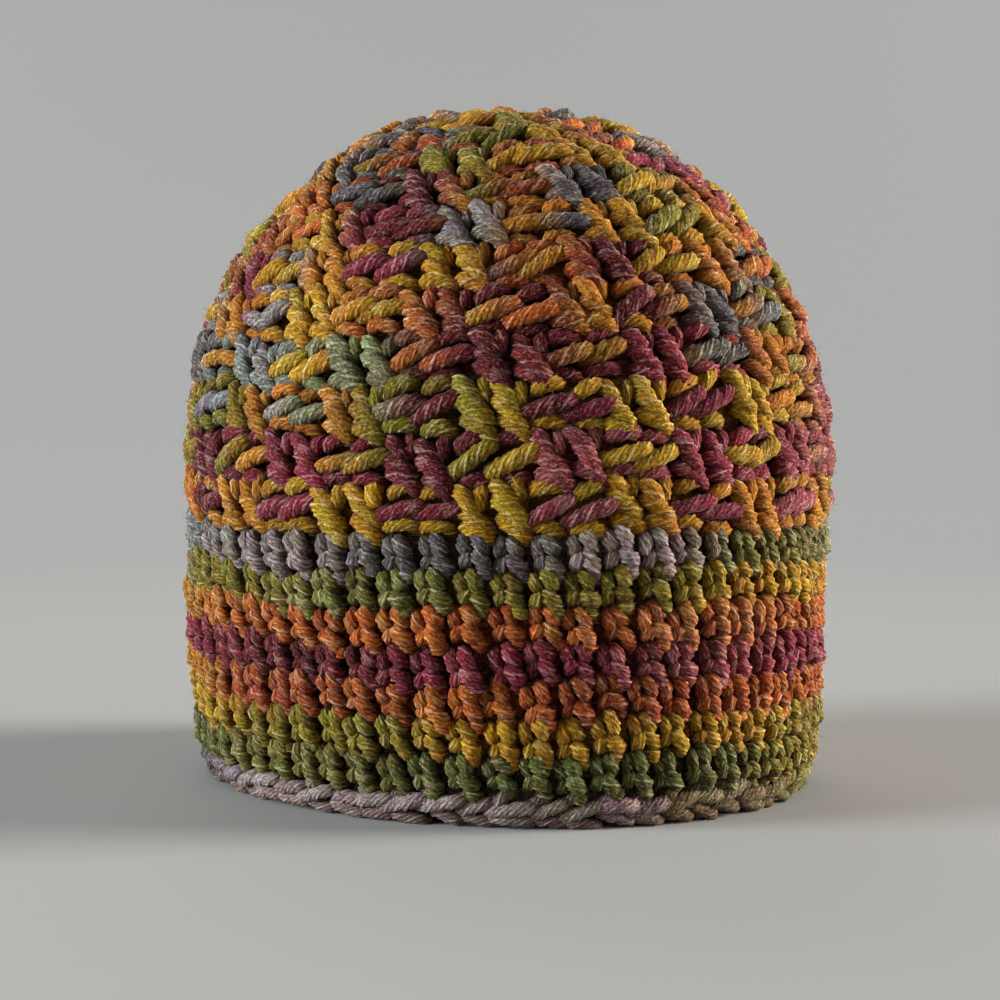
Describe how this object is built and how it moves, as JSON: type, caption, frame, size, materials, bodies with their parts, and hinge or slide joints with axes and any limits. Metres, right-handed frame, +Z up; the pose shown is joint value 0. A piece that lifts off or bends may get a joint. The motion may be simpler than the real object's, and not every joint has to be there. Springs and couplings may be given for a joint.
{
  "type": "crochet beanie",
  "caption": "Crochet beanie with a domed basketweave crown, a ribbed brim band and a braided edging, in a self-striping bulky yarn.",
  "frame": {"origin": "centre of the opening, on the plane that the edging rests on", "axes": "+Z up through the crown, -Y towards the front of the head, +X towards the wearer's left"},
  "size_m": [0.1784, 0.2085, 0.1973],
  "materials": {
    "crown_yarn": "bulky plied yarn, mustard, orange, burgundy and grey",
    "band_yarn": "bulky plied yarn, striped round by round",
    "edging_yarn": "bulky plied yarn, grey shading to taupe and olive"
  },
  "bodies": {
    "root": {"crown": "crown_yarn", "brim_band": "band_yarn", "edging": "edging_yarn"}
  },
  "joints": []
}
